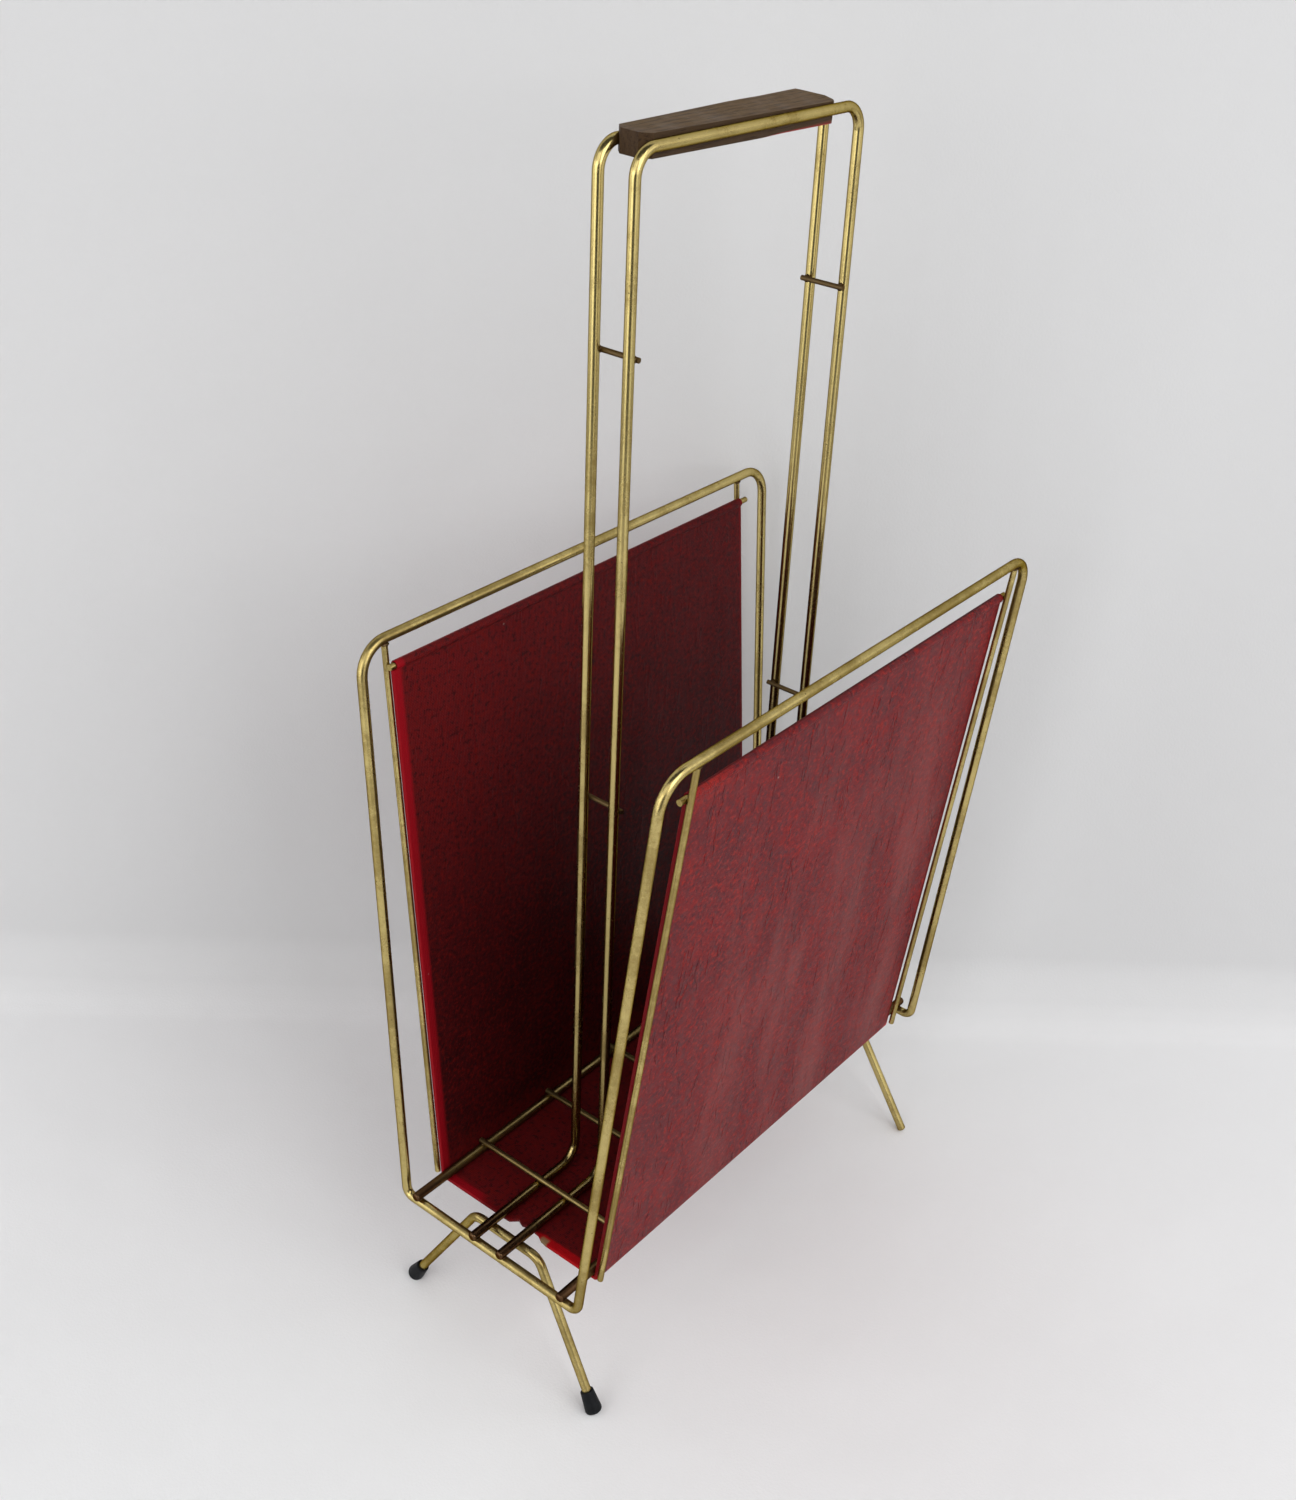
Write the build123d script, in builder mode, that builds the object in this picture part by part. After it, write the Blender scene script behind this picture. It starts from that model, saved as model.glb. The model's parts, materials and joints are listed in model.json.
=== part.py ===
from build123d import *
import os
from math import asin, atan2, cos, degrees, hypot, radians, sin, sqrt

# Magazine file holder: a brass wire rack with a red sheet slung inside it,
# a tall double-wire carrying handle with a wooden grip, and two wire legs.
#
# Frame: X across the rack, Y along its length, Z up, millimetres.
# Origin: on the floor, under the middle of the rack.

# ---- Driving dimensions ----------------------------------------------------

# Stock
thick_wire = 4.8        # diameter of the frame, rails, handle and legs
thin_wire = 3.0         # diameter of the side stays, top rods and floor wires
spacer_wire = 2.4       # diameter of the handle spacers
sheet_thickness = 2.2   # sling sheet
weld_gap = 0.02         # clearance left where two wires are welded together
wire_end_round = 1.2    # rounding of a thick wire's free end

# Outer frame loop
frame_top_half_width = 82.0
frame_bottom_half_width = 58.0
frame_top_half_length = 148.0
frame_bottom_half_length = 150.4
frame_top_z = 383.7
frame_top_rise = 2.0    # the top rails climb this much from mid-length to the rear
frame_right_setback = 6.0  # the right front top corner is bent back from use
frame_bottom_z = 77.0
frame_top_bend = 15.0
frame_bottom_bend = 5.0

# Bottom rails and the feet of the handle, which lie on the frame's end wires
rail_half_spacing = 48.8
rail_overhang = 1.2     # how far the wires run past the end wires

# Side stays, thin wires that hang from the top rails outside the sheet. They
# aren't quite square to the rack: (side, end) gives the Y at the top and foot.
stay_places = {
    (-1, -1): (-134.0, -131.2),
    (1, -1): (-119.5, -130.4),
    (-1, 1): (124.6, 131.5),
    (1, 1): (135.5, 133.2),
}
stay_foot_z = 80.5

# Top rods, which carry the sheet's upper edges: how far each hangs below its
# top rail, and the Y of its two ends.
rod_drops = {-1: 12.7, 1: 19.9}
rod_ends = {-1: (-135.0, 128.6), 1: (-123.8, 138.0)}

# Sling sheet
sleeve_thickness = 0.8  # the sheet is thinned where it wraps a top rod
sleeve_clearance = 0.4  # space between a sleeve's end and the stay beside it
sheet_fold = 1.3        # bend radius of its middle layer under the rails
sheet_front_inset = 0.3  # how far the sheet's edges lie inside the stays' centre lines
sheet_rear_inset = 1.5
sleeve_depth = 1.8      # the full thickness stops this far below a rod's centre
wedge_clearance = 8.0   # keeps an edge's slanting cut off the other half of the sheet

# Handle
handle_half_spacing = 9.1
handle_half_length = 76.0
handle_top_z = 596.0
handle_lean_x = -6.1    # the handle leans a little from use, measured at its top
handle_lean_y = -3.4
handle_top_bend = 11.0
handle_foot_bend = 11.0
spacer_heights = {       # (end, which) gives a spacer's height
    (-1, "lower"): 304.0,
    (-1, "upper"): 515.6,
    (1, "lower"): 307.0,
    (1, "upper"): 517.4,
}

# Grip
grip_width = 17.0
grip_height = 9.5
grip_shift = -0.5       # the grip sits this much off the middle of the wires
grip_front = -68.6      # its two ends, from the middle of the handle's top
grip_rear = 57.9
grip_front_roll = 1.5   # the grip is a little twisted, its left side higher
grip_rear_roll = 12.0
grip_end_chamfer = 4.0
grip_corner_across = 11.0  # its rear left corner is cut away much more
grip_corner_along = 8.5
grip_end_round = 1.5    # the small cut at its rear right corner
grip_edge_round = 0.9

# Floor wires
floor_wire_pitch = 52.0
floor_wire_count = 5
floor_wire_overhang = 2.0

# Legs
leg_top_y = 138.0
leg_shoulder_x = 21.5
leg_feet = {            # (side, end) gives the X and Y, from the middle, where a leg meets the floor
    (-1, -1): (68.0, 137.5),
    (1, -1): (64.5, 140.5),
    (-1, 1): (70.8, 140.2),
    (1, 1): (70.8, 140.2),
}
leg_bend = 9.0

# Rubber foot caps, worn by the front legs only
cap_length = 12.5
cap_base_radius = 4.6
cap_mouth_radius = 3.4
cap_floor = 3.0         # rubber under the wire's end
cap_base_round = 2.0
cap_mouth_round = 0.5
cap_tread = 0.9         # how much of the rounded base is worn flat by the floor

# ---- Derived places --------------------------------------------------------

thick_radius = thick_wire / 2
thin_radius = thin_wire / 2

rail_z = frame_bottom_z + thick_wire + weld_gap
rail_end_y = frame_bottom_half_length + thick_radius + rail_overhang
floor_wire_z = rail_z + thick_radius + thin_radius + weld_gap
leg_top_z = rail_z - thick_wire - weld_gap

# The sheet passes between the bottom rails and the side stays. A stay's slope
# is that of the line from the top rail that just clears rail, sheet and rod.
rail_wrap = thick_radius + weld_gap + sheet_thickness / 2
rod_offset = thin_wire + weld_gap
stay_offset = rail_wrap + rod_offset
rail_to_top = hypot(frame_top_half_width - rail_half_spacing, frame_top_z - rail_z)
rail_to_top_angle = atan2(frame_top_half_width - rail_half_spacing, frame_top_z - rail_z)
side_tilt = rail_to_top_angle - asin(stay_offset / rail_to_top)
up_x = sin(side_tilt)
up_z = cos(side_tilt)


def frame_corner(side, end, top):
    if not top:
        return (side * frame_bottom_half_width, end * frame_bottom_half_length, frame_bottom_z)
    setback = frame_right_setback if (side, end) == (1, -1) else 0
    y = end * frame_top_half_length + setback
    return (side * frame_top_half_width, y, frame_top_z + end * frame_top_rise)


def top_rail_z(side, y):
    """Height of a top rail's centre line at a place along the rack."""
    front = frame_corner(side, -1, True)
    rear = frame_corner(side, 1, True)
    share = (y - front[1]) / (rear[1] - front[1])
    return front[2] + share * (rear[2] - front[2])


def stay_x(side, z):
    """X of a side stay's centre line at height z."""
    return side * (frame_top_half_width - (frame_top_z - z) * up_x / up_z)


def on_stay(side, end, z):
    """A point of a side stay's centre line at height z."""
    top_y, foot_y = stay_places[side, end]
    share = (z - rail_z) / (frame_top_z - rail_z)
    return Vector(stay_x(side, z), foot_y + share * (top_y - foot_y), z)


def on_rod(side, y):
    """A point of a top rod's centre line at a place along the rack."""
    z = top_rail_z(side, y) - rod_drops[side]
    return Vector(stay_x(side, z) - side * rod_offset / up_z, y, z)


def lean(x, y, z):
    """Shift a point of the handle by the handle's lean at its height."""
    share = (z - rail_z) / (handle_top_z - rail_z)
    return (x + share * handle_lean_x, y + share * handle_lean_y, z)


# ---- Helpers ---------------------------------------------------------------

os.makedirs("parts", exist_ok=True)
side_names = {-1: "left", 1: "right"}
end_names = {-1: "front", 1: "rear"}


def save(piece, label):
    piece.part.label = label
    export_step(piece.part, f"parts/{label}.step")


def round_ends(piece, path, size):
    ends = (path @ 0, path @ 1)
    rims = piece.edges().filter_by(GeomType.CIRCLE)
    fillet([rim for rim in rims if min((rim.arc_center - end).length for end in ends) < weld_gap], size)


def straight_wire(start, end, diameter, end_round=0):
    with BuildPart() as piece:
        with BuildLine():
            path = Line(start, end)
        with BuildSketch(Plane(origin=path @ 0, z_dir=path % 0)):
            Circle(diameter / 2)
        sweep(path=path)
        if end_round:
            round_ends(piece, path, end_round)
    return piece


def bent_wire(points, bends, diameter, end_round=0):
    with BuildPart() as piece:
        with BuildLine():
            path = FilletPolyline(*points, radius=bends)
        with BuildSketch(Plane(origin=path @ 0, z_dir=path % 0)):
            Circle(diameter / 2)
        sweep(path=path)
        if end_round:
            round_ends(piece, path, end_round)
    return piece


# ---- Outer frame loop ------------------------------------------------------
# One wire bent into a closed loop: a V-shaped end at the front and at the
# rear, joined by the two top rails.

loop_bends = [frame_bottom_bend, frame_top_bend, frame_top_bend, frame_bottom_bend]
with BuildPart() as frame_loop:
    for side in (-1, 1):
        with BuildLine():
            half_loop = FilletPolyline(
                (0, -frame_bottom_half_length, frame_bottom_z),
                frame_corner(side, -1, False),
                frame_corner(side, -1, True),
                frame_corner(side, 1, True),
                frame_corner(side, 1, False),
                (0, frame_bottom_half_length, frame_bottom_z),
                radius=loop_bends,
            )
        with BuildSketch(Plane(origin=half_loop @ 0, z_dir=half_loop % 0)):
            Circle(thick_radius)
        sweep(path=half_loop)
save(frame_loop, "frame_loop")

# ---- Bottom rails ----------------------------------------------------------

for side, side_name in side_names.items():
    rail_x = side * rail_half_spacing
    rail_ends = ((rail_x, -rail_end_y, rail_z), (rail_x, rail_end_y, rail_z))
    bottom_rail = straight_wire(*rail_ends, thick_wire, end_round=wire_end_round)
    save(bottom_rail, f"bottom_rail_{side_name}")

# ---- Side stays ------------------------------------------------------------
# Each is a straight thin wire from the underside of a top rail down past the
# outside of a top rod and of the sheet, to the height of the bottom rail.


def bend_drop(side, end, y):
    """How far the underside of a top rail has turned down where a stay meets it."""
    bend_start = abs(frame_corner(side, end, True)[1]) - frame_top_bend
    past_start = max(0, abs(y) + thin_radius - bend_start)
    inner_bend = frame_top_bend - thick_radius
    return inner_bend - sqrt(inner_bend**2 - past_start**2)


for (side, end), (top_y, foot_y) in stay_places.items():
    stay_lean = atan2(abs(top_y - foot_y), frame_top_z - rail_z)
    head_gap = thick_radius + weld_gap + thin_radius * sin(stay_lean) + bend_drop(side, end, top_y)
    head = on_stay(side, end, top_rail_z(side, top_y) - head_gap)
    foot = on_stay(side, end, stay_foot_z)
    side_stay = straight_wire(head, foot, thin_wire)
    save(side_stay, f"side_stay_{end_names[end]}_{side_names[side]}")

# ---- Top rods --------------------------------------------------------------

for side, (front_y, rear_y) in rod_ends.items():
    top_rod = straight_wire(on_rod(side, front_y), on_rod(side, rear_y), thin_wire)
    save(top_rod, f"top_rod_{side_names[side]}")

# ---- Sling sheet -----------------------------------------------------------
# One sheet: its thinned edge wraps a top rod as a sleeve, it runs down outside
# the bottom rail, crosses under both rails and comes up the other side.

sheet_floor_z = rail_z - rail_wrap
sleeve_bore = thin_radius + weld_gap
sleeve_radius = sleeve_bore + sleeve_thickness


def sheet_side_x(side, z):
    """X of the middle of the sheet's side at height z."""
    return stay_x(side, z) - side * rod_offset / up_z


def cut_plane(first, second, third, inward):
    """The plane through three points, facing the given way."""
    normal = (second - first).cross(third - first)
    if normal.dot(inward) < 0:
        normal = -normal
    return Plane(origin=first, z_dir=normal)


# The front and rear edges follow the stays. As the right front stay and the
# left rear one lean, their halves of the sheet each have a second, slanting cut.
front_inset = Vector(0, sheet_front_inset, 0)
rear_inset = Vector(0, -sheet_rear_inset, 0)
left_front_foot = on_stay(-1, -1, sheet_floor_z) + front_inset
right_front_foot = on_stay(1, -1, sheet_floor_z) + front_inset
left_front_top = on_stay(-1, -1, frame_top_z) + front_inset
right_front_top = on_stay(1, -1, frame_top_z) + front_inset
left_rear_foot = on_stay(-1, 1, sheet_floor_z) + rear_inset
right_rear_foot = on_stay(1, 1, sheet_floor_z) + rear_inset
left_rear_top = on_stay(-1, 1, frame_top_z) + rear_inset
right_rear_top = on_stay(1, 1, frame_top_z) + rear_inset
front_wedge = left_front_foot - Vector(0, wedge_clearance, 0)
rear_wedge = right_rear_foot + Vector(0, wedge_clearance, 0)
edge_cuts = [
    cut_plane(left_front_top, left_front_foot, right_front_foot, Vector(0, 1, 0)),
    cut_plane(right_front_top, right_front_foot, front_wedge, Vector(0, 1, 0)),
    cut_plane(right_rear_top, right_rear_foot, left_rear_foot, Vector(0, -1, 0)),
    cut_plane(left_rear_top, left_rear_foot, rear_wedge, Vector(0, -1, 0)),
]
for side in (-1, 1):
    slope_up = Vector(side * up_x, 0, up_z)
    across = Vector(side * up_z, 0, -up_x)
    edge_front = on_rod(side, -frame_top_half_length) - slope_up * sleeve_depth
    edge_rear = on_rod(side, frame_top_half_length) - slope_up * sleeve_depth
    edge_cuts.append(cut_plane(edge_front, edge_rear, edge_front + across, Vector(0, 0, -1)))

left_top_z = on_rod(-1, frame_top_half_length).Z
right_top_z = on_rod(1, frame_top_half_length).Z
sheet_profile = [
    (sheet_side_x(-1, left_top_z), left_top_z),
    (sheet_side_x(-1, sheet_floor_z), sheet_floor_z),
    (sheet_side_x(1, sheet_floor_z), sheet_floor_z),
    (sheet_side_x(1, right_top_z), right_top_z),
]
with BuildPart() as sling_sheet:
    with BuildSketch(Plane.XZ.offset(-frame_top_half_length)) as section:
        with BuildLine() as middle:
            FilletPolyline(*sheet_profile, radius=sheet_fold)
        trace(line_width=sheet_thickness)
    extrude(amount=2 * frame_top_half_length)
    for edge_cut in edge_cuts:
        split(bisect_by=edge_cut, keep=Keep.TOP)
    for side in (-1, 1):
        front_stay_y = on_stay(side, -1, on_rod(side, 0).Z).Y
        rear_stay_y = on_stay(side, 1, on_rod(side, 0).Z).Y
        sleeve_start = on_rod(side, front_stay_y + thin_radius + sleeve_clearance)
        sleeve_end = on_rod(side, rear_stay_y - thin_radius - sleeve_clearance)
        rod_run = sleeve_end - sleeve_start
        with BuildSketch(Plane(origin=sleeve_start, z_dir=rod_run)):
            Circle(sleeve_radius)
        extrude(amount=rod_run.length)
        with BuildSketch(Plane(origin=sleeve_start, z_dir=rod_run)):
            Circle(sleeve_bore)
        extrude(amount=rod_run.length, mode=Mode.SUBTRACT)
save(sling_sheet, "sling_sheet")

# ---- Handle wires ----------------------------------------------------------
# Each is one wire: a foot on the front end wire, an upright, the top run
# through the grip, an upright and a foot on the rear end wire.

handle_bends = [handle_foot_bend, handle_top_bend, handle_top_bend, handle_foot_bend]


def handle_points(side):
    wire_x = side * handle_half_spacing
    return [
        (wire_x, -rail_end_y, rail_z),
        (wire_x, -handle_half_length, rail_z),
        lean(wire_x, -handle_half_length, handle_top_z),
        lean(wire_x, handle_half_length, handle_top_z),
        (wire_x, handle_half_length, rail_z),
        (wire_x, rail_end_y, rail_z),
    ]


for side, side_name in side_names.items():
    handle_wire = bent_wire(handle_points(side), handle_bends, thick_wire, end_round=wire_end_round)
    save(handle_wire, f"handle_wire_{side_name}")

# ---- Grip ------------------------------------------------------------------
# A wooden bar held between the two handle wires, which sit in a groove along
# each of its sides.

grip_x, grip_y, grip_z = lean(grip_shift, 0, handle_top_z)
half_width = grip_width / 2
grip_outline = [
    (-half_width, grip_front + grip_end_chamfer),
    (-half_width + grip_end_chamfer, grip_front),
    (half_width - grip_end_chamfer, grip_front),
    (half_width, grip_front + grip_end_chamfer),
    (half_width, grip_rear - grip_end_round),
    (half_width - grip_end_round, grip_rear),
    (-half_width + grip_corner_across, grip_rear),
    (-half_width, grip_rear - grip_corner_along),
]
grooves = [bent_wire(handle_points(side), handle_bends, thick_wire + 2 * weld_gap) for side in side_names]
with BuildPart() as handle_grip:
    for end_y, roll in ((grip_front, grip_front_roll), (grip_rear, grip_rear_roll)):
        across = Vector(cos(radians(roll)), 0, -sin(radians(roll)))
        with BuildSketch(Plane(origin=(grip_x, grip_y + end_y, grip_z), x_dir=across, z_dir=(0, 1, 0))):
            Rectangle(grip_width + grip_end_round, grip_height)
    loft()
    with BuildSketch(Plane(origin=(grip_x, grip_y, grip_z - grip_height))):
        with BuildLine():
            Polyline(*grip_outline, close=True)
        make_face()
    extrude(amount=2 * grip_height, mode=Mode.INTERSECT)
    fillet(handle_grip.faces().sort_by(Axis.Z)[-1].edges(), grip_edge_round)
    fillet(handle_grip.faces().sort_by(Axis.Z)[0].edges(), grip_edge_round)
    for groove in grooves:
        add(groove.part, mode=Mode.SUBTRACT)
save(handle_grip, "handle_grip")

# ---- Handle spacers --------------------------------------------------------

spacer_half_length = handle_half_spacing + thick_radius
spacer_y = handle_half_length - thick_radius - spacer_wire / 2 - weld_gap
for (end, which), height in spacer_heights.items():
    spacer_start = lean(-spacer_half_length, end * spacer_y, height)
    spacer_end = lean(spacer_half_length, end * spacer_y, height)
    handle_spacer = straight_wire(spacer_start, spacer_end, spacer_wire)
    save(handle_spacer, f"handle_spacer_{end_names[end]}_{which}")

# ---- Floor wires -----------------------------------------------------------

floor_wire_half_length = rail_half_spacing + floor_wire_overhang
for index in range(floor_wire_count):
    wire_y = (index - (floor_wire_count - 1) / 2) * floor_wire_pitch
    floor_wire = straight_wire(
        (-floor_wire_half_length, wire_y, floor_wire_z),
        (floor_wire_half_length, wire_y, floor_wire_z),
        thin_wire,
    )
    save(floor_wire, f"floor_wire_{index + 1}")

# ---- Legs ------------------------------------------------------------------
# Each is one wire bent to an inverted V with a short flat top, which is
# welded under the feet of the handle wires.


def leg_tilt(side, end):
    """The angle between a leg and the upright."""
    foot_x, foot_y = leg_feet[side, end]
    return atan2(hypot(foot_x - leg_shoulder_x, foot_y - leg_top_y), leg_top_z)


def on_leg(side, end, distance):
    """A point on a leg's centre line, a distance up from where it meets the floor."""
    foot_x, foot_y = leg_feet[side, end]
    share = distance * cos(leg_tilt(side, end)) / leg_top_z
    x = foot_x + share * (leg_shoulder_x - foot_x)
    y = foot_y + share * (leg_top_y - foot_y)
    return Vector(side * x, end * y, share * leg_top_z)


def standing_distance(side, end, radius, rounding):
    """How far up a leg the middle of a rounded end is when its rim meets the floor."""
    tilt = leg_tilt(side, end)
    return ((radius - rounding) * sin(tilt) + rounding * (1 - cos(tilt))) / cos(tilt)


def cap_base(side):
    """How far up a front leg the base of its foot cap is."""
    return standing_distance(side, -1, cap_base_radius, cap_base_round) - cap_tread


def leg_end(side, end):
    """The lower end of a leg's centre line: inside its cap, or on the floor at the rear."""
    if end < 0:
        return on_leg(side, end, cap_base(side) + cap_floor)
    return on_leg(side, end, standing_distance(side, end, thick_radius, wire_end_round))


for end, end_name in end_names.items():
    leg_points = [
        leg_end(-1, end),
        (-leg_shoulder_x, end * leg_top_y, leg_top_z),
        (leg_shoulder_x, end * leg_top_y, leg_top_z),
        leg_end(1, end),
    ]
    leg_wire = bent_wire(leg_points, leg_bend, thick_wire, end_round=wire_end_round)
    save(leg_wire, f"leg_wire_{end_name}")

# ---- Foot caps -------------------------------------------------------------
# A tapered rubber cap with a blind socket, worn flat where it stands on the
# floor.

for side, side_name in side_names.items():
    base_centre = on_leg(side, -1, cap_base(side))
    up_leg = on_leg(side, -1, cap_length) - on_leg(side, -1, 0)
    cap_plane = Plane(origin=base_centre, z_dir=up_leg)
    with BuildPart() as foot_cap:
        with BuildSketch(cap_plane):
            Circle(cap_base_radius)
        with BuildSketch(cap_plane.offset(cap_length)):
            Circle(cap_mouth_radius)
        loft()
        rims = foot_cap.edges().filter_by(GeomType.CIRCLE).sort_by(Axis.Z)
        fillet(rims[0], cap_base_round)
        fillet(rims[-1], cap_mouth_round)
        with BuildSketch(cap_plane.offset(cap_floor)):
            Circle(thick_radius + weld_gap)
        extrude(amount=cap_length, mode=Mode.SUBTRACT)
        split(bisect_by=Plane.XY, keep=Keep.TOP)
    save(foot_cap, f"foot_cap_front_{side_name}")

print("side tilt, degrees:", round(degrees(side_tilt), 2))
print("right front leg tilt, degrees:", round(degrees(leg_tilt(1, -1)), 2))
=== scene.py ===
"""Looks of the magazine file holder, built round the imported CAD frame. Metres throughout."""

import json
import math

import bmesh
import bpy
from mathutils import Matrix, Vector, noise


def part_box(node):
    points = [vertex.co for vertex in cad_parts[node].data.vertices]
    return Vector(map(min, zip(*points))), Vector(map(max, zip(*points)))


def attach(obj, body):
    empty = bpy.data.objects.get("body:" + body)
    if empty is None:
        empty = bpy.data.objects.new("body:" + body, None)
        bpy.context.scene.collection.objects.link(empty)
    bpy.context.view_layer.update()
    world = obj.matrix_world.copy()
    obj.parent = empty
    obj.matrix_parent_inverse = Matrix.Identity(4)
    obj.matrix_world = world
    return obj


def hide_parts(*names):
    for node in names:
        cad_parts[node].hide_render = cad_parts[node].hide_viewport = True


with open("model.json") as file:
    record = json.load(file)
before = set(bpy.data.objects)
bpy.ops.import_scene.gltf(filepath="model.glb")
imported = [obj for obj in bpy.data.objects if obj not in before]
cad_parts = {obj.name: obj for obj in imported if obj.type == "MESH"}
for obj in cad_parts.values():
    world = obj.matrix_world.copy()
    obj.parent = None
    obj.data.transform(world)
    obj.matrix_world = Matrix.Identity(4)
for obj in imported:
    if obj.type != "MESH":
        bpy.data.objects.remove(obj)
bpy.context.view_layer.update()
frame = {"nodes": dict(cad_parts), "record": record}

# ---- Sizes that the looks add ---------------------------------------------------------------

SHEET_THICKNESS = 0.0022
SHEET_GAP = 0.00002          # between the sheet and the wires that it wraps
SHEET_STEP = 0.0035          # spacing of the sheet's mesh
SHEET_SAG = 0.0005           # how far the flat stretches bow
BEND_STEPS = 6               # faces round each fold
FOLD_RADIUS = 0.0013         # of the sheet's middle layer where it folds under a rail
SLEEVE_THICKNESS = 0.0008    # of the sheet where it wraps a top rod
SLEEVE_DEPTH = 0.0018        # how far below a rod's centre the full thickness stops
SLEEVE_CLEARANCE = 0.0004    # between a sleeve's end and the stay beside it
SLEEVE_STEPS = 20            # faces round each sleeve
FRONT_INSET = 0.0003         # of the sheet's front edge from the stays' centre lines
REAR_INSET = 0.0015          # of its rear edge
CHIP_SPAN = (-0.0055, 0.0165)  # the broken place in the floor's front edge
CHIP_DEPTH = 0.0036
EDGE_ROUND = 0.0006          # rounding of the sheet's edges

# ---- Node-tree helpers ----------------------------------------------------------------------


class Shader:
    """A material with one Principled surface, and short calls that add nodes to it."""

    def __init__(self, name):
        self.material = bpy.data.materials.new(name)
        self.material.use_nodes = True
        self.tree = self.material.node_tree
        self.surface = self.tree.nodes["Principled BSDF"]

    def add(self, kind, settings=None, **inputs):
        """A node of a kind; settings are its properties and inputs its sockets' values or links."""
        made = self.tree.nodes.new("ShaderNode" + kind)
        for key, value in (settings or {}).items():
            setattr(made, key, value)
        for key, value in inputs.items():
            self.put(made.inputs[key.replace("_", " ")], value)
        return made

    def put(self, socket, value):
        if isinstance(value, bpy.types.NodeSocket):
            self.tree.links.new(value, socket)
        else:
            socket.default_value = value

    def place(self, stretch=(1, 1, 1), kind="Object"):
        """Coordinates in metres, stretched per axis."""
        source = self.add("TexCoord").outputs[kind]
        return self.add("Mapping", Vector=source, Scale=stretch).outputs["Vector"]

    def noise(self, where, scale, detail=4.0, roughness=0.55, distortion=0.0):
        made = self.add(
            "TexNoise", Vector=where, Scale=scale, Detail=detail, Roughness=roughness, Distortion=distortion
        )
        return made.outputs["Fac"]

    def cells(self, where, scale):
        """Distance from the nearest of some scattered points."""
        return self.add("TexVoronoi", Vector=where, Scale=scale).outputs["Distance"]

    def band(self, value, low, high, out_low=0.0, out_high=1.0):
        """value, mapped smoothly from low..high to out_low..out_high."""
        made = self.add("MapRange", {"interpolation_type": "SMOOTHSTEP"}, Value=value)
        made.inputs["From Min"].default_value = low
        made.inputs["From Max"].default_value = high
        made.inputs["To Min"].default_value = out_low
        made.inputs["To Max"].default_value = out_high
        return made.outputs["Result"]

    def calc(self, operation, first, second=0.0):
        made = self.add("Math", {"operation": operation})
        self.put(made.inputs[0], first)
        self.put(made.inputs[1], second)
        return made.outputs[0]

    def product(self, first, second):
        return self.calc("MULTIPLY", first, second)

    def blend(self, share, first, second):
        """Two colours mixed by share."""
        made = self.add("Mix", {"data_type": "RGBA"})
        self.put(made.inputs["Factor"], share)
        self.put(made.inputs["A"], colour(first))
        self.put(made.inputs["B"], colour(second))
        return made.outputs["Result"]

    def bump(self, height, distance, strength=1.0, over=None):
        made = self.add("Bump", Height=height, Distance=distance, Strength=strength)
        if over is not None:
            self.put(made.inputs["Normal"], over)
        return made.outputs["Normal"]

    def finish(self, **inputs):
        for key, value in inputs.items():
            self.put(self.surface.inputs[key.replace("_", " ")], colour(value))
        return self.material


def colour(value):
    """A three-part colour gets its alpha; anything else is left as it is."""
    if isinstance(value, tuple) and len(value) == 3:
        return (*value, 1.0)
    return value


# ---- Materials ------------------------------------------------------------------------------


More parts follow.
